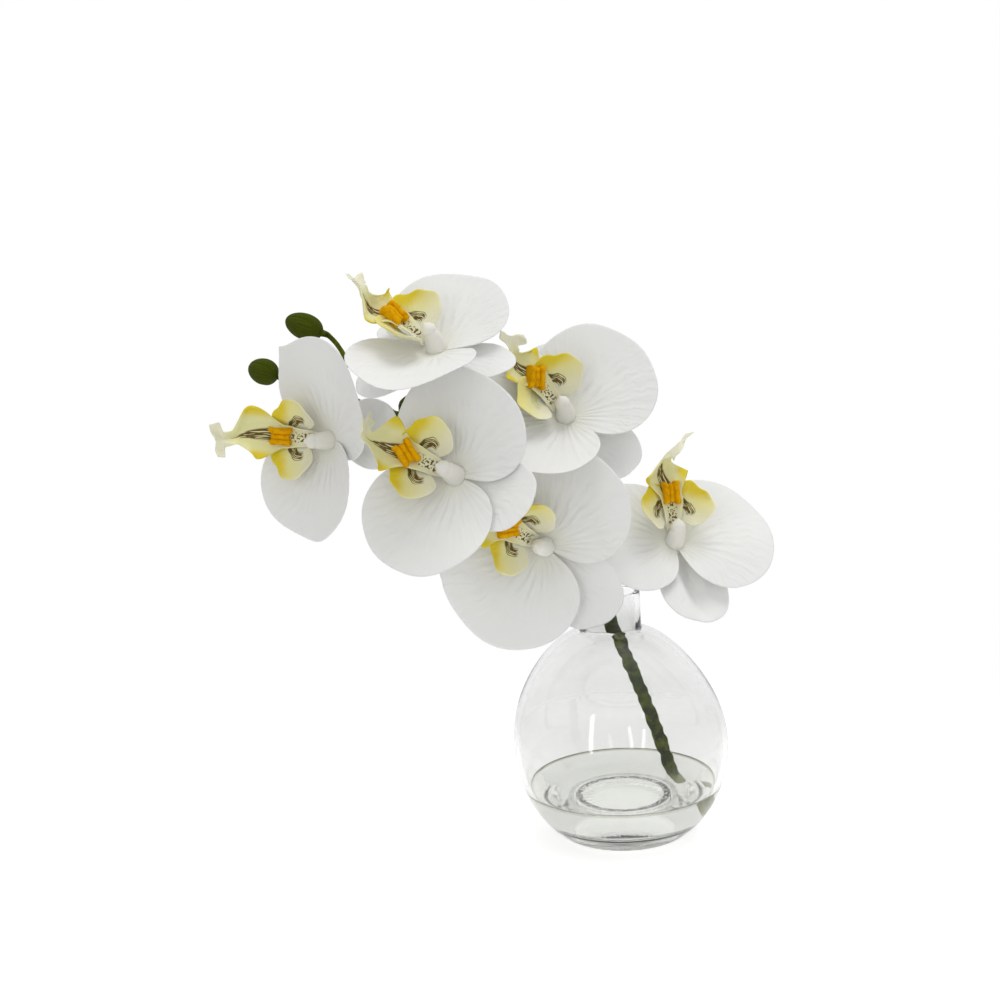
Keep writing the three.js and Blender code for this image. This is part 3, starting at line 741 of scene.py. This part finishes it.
def fan(form):
    """A rounded fan of places, each at an angle and a distance from the root. The reach falls with the cosine
    of the angle to the power round, and may have soft corners and one sharp tip. The height is lift and bow
    along the reach, dish across it, a ripple that grows with the cube of the distance, a broad swell, a
    crease along the middle, and fine pleats that come and go along the veins. With the places come two maps:
    by angle and distance, and by share of the angle and of the way to the edge."""
    pleat, swell = form["pleat"], form["swell"]
    u = np.sin(np.linspace(-1, 1, form["columns"] + 1) * np.pi / 2)[:, None]
    b = 1 - (1 - np.linspace(0, 1, form["rows"] + 1)[None, :]) ** 1.35
    angle = u * math.radians(form["spread"])
    reach = form["length"] * (0.09 + 0.91 * np.abs(np.cos(u * np.pi / 2)) ** form["round"])
    corners = np.sin(6.5 * u + rng.uniform(-1, 1)) + 0.35 * np.sin(17 * u + rng.uniform(-3, 3))
    reach = reach * (1 + form.get("corner", 0) * corners * np.cos(u * np.pi / 2))
    tip_at, tip_reach = form.get("tip", (0, 0))
    reach = reach * (1 + tip_reach * np.exp(-np.abs(np.degrees(angle) - tip_at) / 7))
    r = form["root"] + b * (reach - form["root"])
    share = r / form["length"]
    angle = angle + 0 * r
    x, y = r * np.cos(angle), r * np.sin(angle)
    phase = rng.uniform(0, 2 * np.pi, 6)
    z = form["length"] * (form["lift"] * share + form["bow"] * share**2)
    z = z + form["dish"] * y**2 / form["length"]
    z = z + form["ripple"] * np.sin(form["waves"] * angle + form["waves"]) * share**3
    z = z + swell * np.sin(2.6 * angle + 3 * share + phase[0]) * share**2
    z = z + 0.5 * swell * np.sin(6.5 * angle - 4 * share + phase[1]) * share**3
    z = z + form.get("crease", 0) * np.exp(-((y / 4) ** 2)) * np.sin(np.pi * np.clip(share, 0, 1))
    waver = 1.3 * np.sin(7 * angle + 2 * share + phase[2])
    patchy = 0.55 + 0.45 * np.sin(4.3 * angle + phase[3]) * np.cos(5 * share + phase[4])
    along_vein = smoothstep(share, 0.1, 0.3) * (1 - 0.8 * smoothstep(share, 0.45, 0.9))
    z = z + pleat * np.sin(38 * angle + waver) * patchy * along_vein
    z = z + 0.4 * pleat * np.sin(83 * angle + 2 * waver + phase[5]) * smoothstep(share, 0.35, 0.6)
    by_angle = np.stack([angle / np.pi * 0.5 + 0.5, share], -1)
    by_edge = np.stack([0.5 + 0.5 * u + 0 * r, b + 0 * r], -1)
    return np.stack([x, y, z], -1), by_angle, by_edge


def column_shape():
    """The column: a stout trunk that narrows from the root of the petals to a rounded cap, bent a little
    toward the lip, with a shallow ring under the cap and a hollow on the lip's side."""
    share = np.linspace(0, 1, 60)[:, None]
    turn = round_turns(48)[None, :]
    line = spline(COLUMN_POINTS, share[:, 0])
    radius = COLUMN_RADIUS - COLUMN_TAPER * smoothstep(share, 0.05, 0.9)
    radius = radius * np.sqrt(1 - smoothstep(share, 0.7, 1.0) ** 2 * 0.98)
    radius = radius - 0.25 * np.exp(-(((share - 0.68) / 0.04) ** 2))
    hollow = 1.1 * np.exp(-(((turn - np.pi) / 0.55) ** 2)) * np.exp(-(((share - 0.6) / 0.13) ** 2))
    wobble = 0.12 * np.sin(3 * turn + 4 * share) + 0.08 * np.sin(5 * turn - 7 * share)
    return dict(tube(line, radius - hollow + wobble * (1 - share)), look=1)


def bloom_shapes(bloom):
    """Collar, column, petals and sepals, set out on the bloom's axes."""
    heights = np.array(COLLAR_HEIGHTS, float)[:, None]
    collar = tube(heights * (0, 0, 1), np.array(COLLAR_RADII)[:, None] * np.ones(24))
    shapes = [dict(collar, look=1), column_shape()]
    for form in [PETAL | part for part in bloom["petals"]] + [SEPAL | part for part in bloom["sepals"]]:
        mid, by_angle, _ = fan(form)
        leaf = blade(mid, by_angle, TEPAL_HALF)
        shapes.append(dict(leaf, points=turned(leaf["points"], form["angle"])))
    return on_bloom(shapes, bloom)


def swung(one, other, angle):
    """Two square directions turned in their plane, the first toward the other."""
    return one * np.cos(angle) + other * np.sin(angle), other * np.cos(angle) - one * np.sin(angle)


def mid_lobe(bloom):
    """The lip's mid lobe: a channel along a bent line. Its half width eases between the widths of its foot,
    callus, shoulders, neck and T-shaped tip, and its edges rise with a power of the place across. It rolls
    about its line from the callus on, and its tip rolls and swings further."""
    along = np.linspace(0, 1, 120)
    line = spline([*LIP_ROOT_POINTS, *bloom["lip"]], along)
    tangent = unit(np.gradient(line, axis=0) * (0.4, 1, 1))
    side = unit(np.cross(np.stack([0 * along, tangent[:, 2], -tangent[:, 1]], -1), tangent))
    roll, tip_roll, tip_swing = (math.radians(a) for a in bloom["lip_turn"])
    swing = (tip_swing * smoothstep(along, 0.68, 0.88))[:, None]
    side, tangent = swung(side, tangent, swing)
    up = np.cross(tangent, side)
    turn = (roll * smoothstep(along, 0.4, 0.65) + tip_roll * smoothstep(along, 0.68, 0.92))[:, None]
    side, up = swung(side, up, turn)
    shares, widths = np.array(LIP_WIDTHS).T
    k = np.clip(np.searchsorted(shares, along, side="right") - 1, 0, len(shares) - 2)
    eased = smoothstep((along - shares[k]) / (shares[k + 1] - shares[k]), 0, 1)
    width = (widths[k] + (widths[k + 1] - widths[k]) * eased)[:, None]
    across = np.linspace(-1, 1, 45)[None, :]
    along = along[:, None]
    phase = rng.uniform(0, 2 * np.pi, 3)
    edge = smoothstep(np.abs(across), 0.45, 1) * smoothstep(along, 0.3, 0.5)
    rise = 0.42 * width * np.abs(across) ** 1.5 * (1 - 0.6 * smoothstep(along, 0.8, 0.95))
    frill = 0.7 * np.sin(24 * along + 2 * across + phase[0]) + 0.4 * np.sin(47 * along + phase[1])
    rise = rise + edge * frill
    rise = rise + 0.3 * np.sin(5 * across + 9 * along + phase[2])
    notch = -1.6 * np.exp(-((across / 0.4) ** 2)) * smoothstep(along, 0.95, 1)
    mid = line[:, None] + side[:, None] * (across * width)[..., None]
    mid = mid + up[:, None] * rise[..., None] + tangent[:, None] * notch[..., None]
    uv = np.stack([0.5 + across * width / LIP_MAP, along + 0 * across], -1)
    return blade(mid, uv, LIP_HALF)


def lip_shapes(bloom):
    """Mid lobe and two side lobes. On some blooms the right one has its own paler look."""
    mid, _, by_edge = fan(SIDE_LOBE)
    right = placed(blade(mid, by_edge, LIP_HALF), lobe_axes(SIDE_LOBE_OUT, SIDE_LOBE_FACE), SIDE_LOBE_AT)
    right_look = 2 if bloom.get("pale_lobe") else 1
    return on_bloom([mid_lobe(bloom), dict(right, look=right_look), dict(mirrored(right), look=1)], bloom)


def ridge(side, half_width, half_length, half_height):
    """A bar along y with blunt ends and a rounded back: powers of the sines and cosines of two angles."""
    polar = np.linspace(-np.pi / 2, np.pi / 2, 30)[1:-1, None]
    turn = round_turns(32)[None, :]
    ring = np.cos(polar) ** 0.35
    x = half_width * ring * np.sign(np.cos(turn)) * np.abs(np.cos(turn)) ** 0.7
    z = half_height * ring * np.sign(np.sin(turn)) * np.abs(np.sin(turn)) ** 0.7
    y = half_length * np.sign(np.sin(polar)) * np.abs(np.sin(polar)) ** 0.6 + 0 * turn
    phase = rng.uniform(0, 2 * np.pi, 3)
    z = z + 0.16 * np.sin(1.5 * y + phase[0]) * (z > 0) * ring
    x = (x + side) * (1 + 0.008 * y**2) + 0.14 * np.sin(1.1 * y + phase[1])
    ends = [(side, -half_length, 0), (side, half_length, 0)]
    return inside_out(ringed(np.stack([x, y, z], -1), ends, turn / (2 * np.pi), polar / np.pi + 0.5))


def callus_shapes(bloom):
    """The callus: two long ridges along the lip with a shorter and lower one between, on a common pad."""
    c, s = math.cos(math.radians(CALLUS_TILT)), math.sin(math.radians(CALLUS_TILT))
    tilt = np.array([[1, 0, 0], [0, c, s], [0, -s, c]])
    shapes = []
    for form in CALLUS_RIDGES:
        shape = ridge(*form)
        shapes.append(dict(shape, points=turned(shape["points"], bloom["callus_turn"]) @ tilt + CALLUS_AT))
    return on_bloom(shapes, bloom)


for n, bloom in enumerate(BLOOMS, 1):
    make_piece(f"white_bloom_{n}", bloom_shapes(bloom), [PETAL_LOOK, COLUMN_LOOK], f"bloom_{n}")
    make_piece(f"yellow_lip_{n}", lip_shapes(bloom), [MID_LOBE_LOOK, SIDE_LOBE_LOOK, PALE_LOBE_LOOK],
               f"lip_{n}")
    make_piece(f"orange_callus_{n}", callus_shapes(bloom), [CALLUS_LOOK], f"callus_{n}")


# Stem and buds

def knobbly(shares, turns, size, seed):
    """Rough bark: a sum of waves along and round the bar, with phases drawn from a seed."""
    draw = np.random.default_rng(seed)
    total = np.zeros((len(shares), len(turns)))
    for _ in range(14):
        along, around = draw.uniform(20, 190), draw.integers(0, 5)
        total += np.sin(along * shares[:, None] * 2 + around * turns[None, :] + draw.uniform(0, 6.3)) / 5
    return size * total


def stalk(points, radius, foot, foot_share, top, rings, seed):
    """A thin bar with light bark, wider by foot over its first share and by top at its far end."""
    along = np.linspace(0, 1, rings)
    turns = round_turns(16)
    width = radius + foot * (1 - smoothstep(along, 0, foot_share)) + top * smoothstep(along, 0.85, 1)
    return tube(even_spline(points, along), width[:, None] + knobbly(along, turns, 0.08, seed))


def stem_shapes():
    """The stem with a swelling at each node, then a bent stalk to each bloom and each bud."""
    shares = np.linspace(0, 1, 520)
    turns = round_turns(22)
    line = even_spline(STEM_POINTS, shares)
    radius = STEM_FOOT_RADIUS + (STEM_TIP_RADIUS - STEM_FOOT_RADIUS) * smoothstep(shares, 0.25, 1)
    for share in NODE_SHARES:
        radius = radius * (1 + NODE_SWELL * np.exp(-(((shares - share) / NODE_SPAN) ** 2)))
    shapes = [tube(line, STEM_SLIM * radius[:, None] + knobbly(shares, turns, 0.45, 3))]
    for bloom, start in zip(BLOOMS, STALK_STARTS):
        at, out = np.asarray(bloom["at"]), bloom_axes(bloom)[2]
        end = at + out * (COLLAR_END + 0.6)
        before = at + out * (COLLAR_END - 7)
        root, ahead = even_spline(STEM_POINTS, [start, start + 0.001])
        leave = root + unit(ahead - root) * 0.12 * np.linalg.norm(root - before) + 0.25 * (before - root)
        shapes.append(stalk([root, leave, before, end], STALK_RADIUS, 0.5, 0.12, 0.4, 60, 5))
    for bud in BUDS:
        way = unit(bud["along"])
        end = np.asarray(bud["at"]) - way * (bud["length"] / 2 - 0.4)
        root = even_spline(STEM_POINTS, [bud["start"]])[0]
        shapes.append(stalk([root, bud["bend"], end - 4 * way, end], BUD_STALK_RADIUS, 0.3, 0.15, 0.6, 50, 6))
    return shapes


def bud_shape(bud):
    """A bud: an egg of rings along its own line, with three shallow seams where its sepals meet."""
    polar = np.linspace(-np.pi / 2, np.pi / 2, 44)
    turns = round_turns(60)[None, :]
    way = unit(bud["along"])
    line = np.asarray(bud["at"]) + np.sin(polar)[:, None] * way * bud["length"] / 2
    ring = BUD_RADIUS * np.cos(polar) * (1 - 0.1 * np.sin(polar))
    seam = 1 - 0.07 * np.exp(-((np.abs(np.sin(1.5 * turns)) / 0.16) ** 2))
    return tube(line, np.maximum(ring[:, None], 0.02) * seam)


make_piece("flower_stem", stem_shapes(), [STEM_LOOK], "stem")
for n, bud in enumerate(BUDS, 1):
    make_piece(f"green_bud_{n}", [bud_shape(bud)], [BUD_LOOK], f"bud_{n}")


# Vase and water

def ball_radius(z, wall):
    """Radius of the ball's lower half at a height, as far inside its outer face as the wall."""
    return (BALL_RADIUS - wall) * math.sqrt(1 - ((z - BALL_MID_Z) / (BALL_DROP - wall)) ** 2)


def height_at(radius, wall):
    """Height at which the ball's upper half has a radius, as far inside its outer face as the wall."""
    return BALL_MID_Z + (BALL_RISE - wall) * math.sqrt(1 - (radius / (BALL_RADIUS - wall)) ** 2)


def ball_arc(low, high, count, wall):
    """Places up the ball's wall at even turns, from one height to another."""
    drop, rise = BALL_DROP - wall, BALL_RISE - wall
    ends = [math.asin((z - BALL_MID_Z) / (rise if z > BALL_MID_Z else drop)) for z in (low, high)]
    turn = np.linspace(*ends, count)
    return np.stack([(BALL_RADIUS - wall) * np.cos(turn),
                     BALL_MID_Z + np.where(turn > 0, rise, drop) * np.sin(turn)], -1)


def rounded(points, radius, count):
    """A profile's corners cut to arcs: each corner becomes a curve of three control places."""
    points = [np.asarray(p, float) for p in points]
    out = [points[0][None]]
    t = np.linspace(0, 1, count)[:, None]
    for before, corner, after, size in zip(points, points[1:], points[2:], radius):
        a = corner + unit(before - corner) * min(size, np.linalg.norm(before - corner) / 2)
        c = corner + unit(after - corner) * min(size, np.linalg.norm(after - corner) / 2)
        out.append(a * (1 - t) ** 2 + 2 * corner * t * (1 - t) + c * t**2)
    return np.vstack([*out, points[-1][None]])


def shouldered(profile):
    """The same profile, raised where the ball nears the neck."""
    rise = NECK_RISE * smoothstep(profile[:, 0], 46, 20) * (profile[:, 1] > BALL_MID_Z)
    return profile + np.stack([0 * rise, rise], -1)


def vase_profile():
    """The vase's section: foot, ball, neck, rim, and back down the inside to the floor of thick glass."""
    inner = NECK_RADIUS - NECK_WALL
    foot = [(0, 0.4), (18, 0.4), (22, 0), (FOOT_RADIUS - 1, 0), (FOOT_RADIUS + 2.5, 2.2)]
    outside = shouldered(ball_arc(3.2, height_at(NECK_RADIUS + 0.7, 0), 64, 0))
    inside = shouldered(ball_arc(height_at(inner + 0.5, GLASS_WALL), GLASS_FLOOR + 3, 60, GLASS_WALL))
    neck = [outside[-1] + (-0.1, 0.03), (NECK_RADIUS, outside[-1, 1] + 0.4), (NECK_RADIUS, RIM_Z),
            (inner, RIM_Z), (inner, inside[0, 1] + 0.3)]
    edge = ball_radius(GLASS_FLOOR + 3, GLASS_WALL)
    floor = [(edge, GLASS_FLOOR + 3), (edge - 4, GLASS_FLOOR + 0.8), (BASE_RING + 2, GLASS_FLOOR),
             (BASE_RING + 0.8, GLASS_FLOOR), (BASE_RING, GLASS_FLOOR + 0.7), (BASE_RING - 0.8, GLASS_FLOOR),
             (0, GLASS_FLOOR - 0.3)]
    return np.vstack([
        rounded(foot, (4, 2, 2.4), 8), outside, rounded(neck, (0.4, 0.7, 0.7), 8), inside,
        rounded(floor, (3, 0.5, 0.5, 0.8, 0.5), 6)[1:],
    ])


def stipple(radius, height, turn):
    """Rough teeth on the moulded ring of the glass floor."""
    band = np.exp(-(((radius - BASE_RING) / 0.9) ** 2))
    band = band * (height > GLASS_FLOOR - 1) * (height < GLASS_FLOOR + 2)
    return 0.35 * band * np.sin(96 * turn + 3 * radius) * (0.6 + 0.4 * np.sin(29 * turn))


def water_profile():
    """The water's section: it fills the ball a little way into the glass, and climbs the wall at its top."""
    wall = GLASS_WALL - 0.25
    low = GLASS_FLOOR + 3
    edge = ball_radius(low, wall)
    bottom = rounded([(0, GLASS_FLOOR - 0.8), (edge - 4, GLASS_FLOOR - 0.3), (edge, low)], (3,), 8)
    side = ball_arc(low, WATER_Z + 1.2, 24, wall)[1:]
    out = side[-1, 0]
    rings = np.linspace(1, 0, 26)[1:]
    top = np.stack([out * rings, WATER_Z + 1.2 * np.exp(-(1 - rings) * out / 1.5)], -1)
    return np.vstack([bottom, side, top])


def leaning(shape):
    """The same body with its neck a little off the ball's middle, as blown."""
    shift = NECK_SHIFT * smoothstep(shape["points"][:, 2:], 40, 95)
    return dict(shape, points=shape["points"] - shift * (1, 0, 0))


make_piece("glass_vase", [leaning(lathe(vase_profile(), 384, stipple))], [glass_material()], "vase")
make_piece("vase_water", [lathe(water_profile(), 128)], [water_material()], "water")


# Stage, lights and camera, in metres, with the lens in mm and turns in degrees

FLOOR_SIDE = 4
FLOOR_DROP = 0.0002
FLOOR_WHITE = (0.9, 0.9, 0.9, 1)
STRIP_WIDTH = 0.06
LIT_POINT = (0, 0, 0.05)
SKY_ON_OBJECT = 0.64
CAMERA_AT = (-0.05007, -0.55287, 0.226)
CAMERA_LENS = 43.2
CAMERA_PITCH = 6.5
CAMERA_ROLL = 3.5


def floor_material():
    """Pale, and glowing with painted light: brighter still under the foot, where it lifts the foot's shadow,
    and dimmer as seen through glass or mirrored in it. It fades to nothing far out, so that no edge shows."""
    material, tree, shader = new_material("pale studio floor")
    distance = length_of(tree, object_place(tree))
    path = node(tree, "ShaderNodeLightPath").outputs
    by_glass = maths(tree, "MAXIMUM", path["Is Transmission Ray"], path["Is Glossy Ray"])
    # Painted light: the glow is raised under the foot to lift its shadow, and lowered for rays that reach the
    # floor through glass or mirrored in it
    glow = maths(tree, "MULTIPLY_ADD", by_glass, -0.15, remap(tree, distance, 0.02, 0.032, 0.7, 0.47))
    dress(shader, Base_Color=FLOOR_WHITE, Roughness=0.8, Specular_IOR_Level=0.1, Emission_Color=glow)
    dress(shader, Emission_Strength=1.0, Alpha=remap(tree, distance, 0.06, 0.35, 1.0, 0.0))
    return material


def add_floor():
    side = FLOOR_SIDE / 2
    corners = [(-side, -side, 0), (side, -side, 0), (side, side, 0), (-side, side, 0)]
    mesh = bpy.data.meshes.new("studio_floor")
    mesh.from_pydata(corners, [], [(0, 1, 2, 3)])
    mesh.materials.append(floor_material())
    floor = add_object("studio_floor", mesh)
    floor.location.z = -FLOOR_DROP


def placement(at, x, y, z):
    """The matrix that puts an object at a point, with its axes along three directions."""
    return Matrix.Translation(at) @ Matrix(np.stack([x, y, z], 1).tolist()).to_4x4()


def facing(away, at=(0, 0, 0)):
    """Placement of a lamp that shines against the direction given."""
    z = unit(away)
    x = unit(np.cross((0, 0, 1), z))
    return placement(at, x, np.cross(z, x), z)


def add_sun(name, away, strength, degrees):
    """Even light from one direction, as soft as the width given in degrees."""
    lamp = bpy.data.lights.new(name, "SUN")
    lamp.energy = strength
    lamp.angle = math.radians(degrees)
    made = add_object(name, lamp)
    made.matrix_world = facing(away)
    made.visible_glossy = False
    made.visible_transmission = False


def add_strip(name, at, height, power):
    """Upright strip light turned to the vase."""
    lamp = bpy.data.lights.new(name, "AREA")
    lamp.shape = "RECTANGLE"
    lamp.size, lamp.size_y = STRIP_WIDTH, height
    lamp.energy = power
    add_object(name, lamp).matrix_world = facing(np.subtract(at, LIT_POINT), at)


def add_world():
    """Even white surroundings: brightest where the camera looks, softer as a light on the object, and darker
    in mirror images of the front of the room."""
    world = bpy.data.worlds.new("white studio")
    world.use_nodes = True
    tree = world.node_tree
    tree.nodes.clear()
    path = node(tree, "ShaderNodeLightPath").outputs
    ahead = split(tree, node(tree, "ShaderNodeTexCoord").outputs["Generated"])["Y"]
    room = remap(tree, ahead, -0.9, -0.2, 0.7, 1.0)
    mirrored_room = remap(tree, ahead, -0.6, 0.2, 0.2, 0.85)
    gloss = maths(tree, "GREATER_THAN", path["Is Glossy Ray"], path["Is Transmission Ray"])
    room = maths(tree, "ADD", times(tree, room, maths(tree, "SUBTRACT", 1.0, gloss)),
                 times(tree, mirrored_room, gloss))
    seen = times(tree, room, maths(tree, "SUBTRACT", 1.0, path["Is Diffuse Ray"]))
    seen = maths(tree, "MULTIPLY_ADD", path["Is Diffuse Ray"], SKY_ON_OBJECT, seen)
    seen = maths(tree, "MAXIMUM", seen, path["Is Camera Ray"])
    back = node(tree, "ShaderNodeBackground", {"Color": (1, 1, 1, 1), "Strength": seen})
    node(tree, "ShaderNodeOutputWorld", {0: back.outputs[0]})
    bpy.context.scene.world = world


def add_camera():
    """Looks along y and a little down, rolled a little about its line of sight."""
    pitch, roll = math.radians(CAMERA_PITCH), math.radians(CAMERA_ROLL)
    back = np.array([0, -math.cos(pitch), math.sin(pitch)])
    right, up = swung(np.array([1.0, 0, 0]), np.array([0, math.sin(pitch), math.cos(pitch)]), -roll)
    camera = bpy.data.cameras.new("camera")
    camera.lens = CAMERA_LENS
    camera.clip_start = 0.01
    made = add_object("camera", camera)
    made.matrix_world = placement(CAMERA_AT, right, up, back)
    bpy.context.scene.camera = made


add_floor()
add_world()
add_sun("overhead light", (0.2, 0.05, 1), 1.3, 35)
add_sun("front light", (0.3, -1, 0.35), 0.18, 70)
add_strip("strip light", (-0.5, -0.72, 0.3), 0.5, 0.6)
add_strip("faint strip light", (0.12, -0.9, 0.3), 0.3, 0.15)
add_camera()
bpy.context.scene.view_settings.view_transform = "Standard"
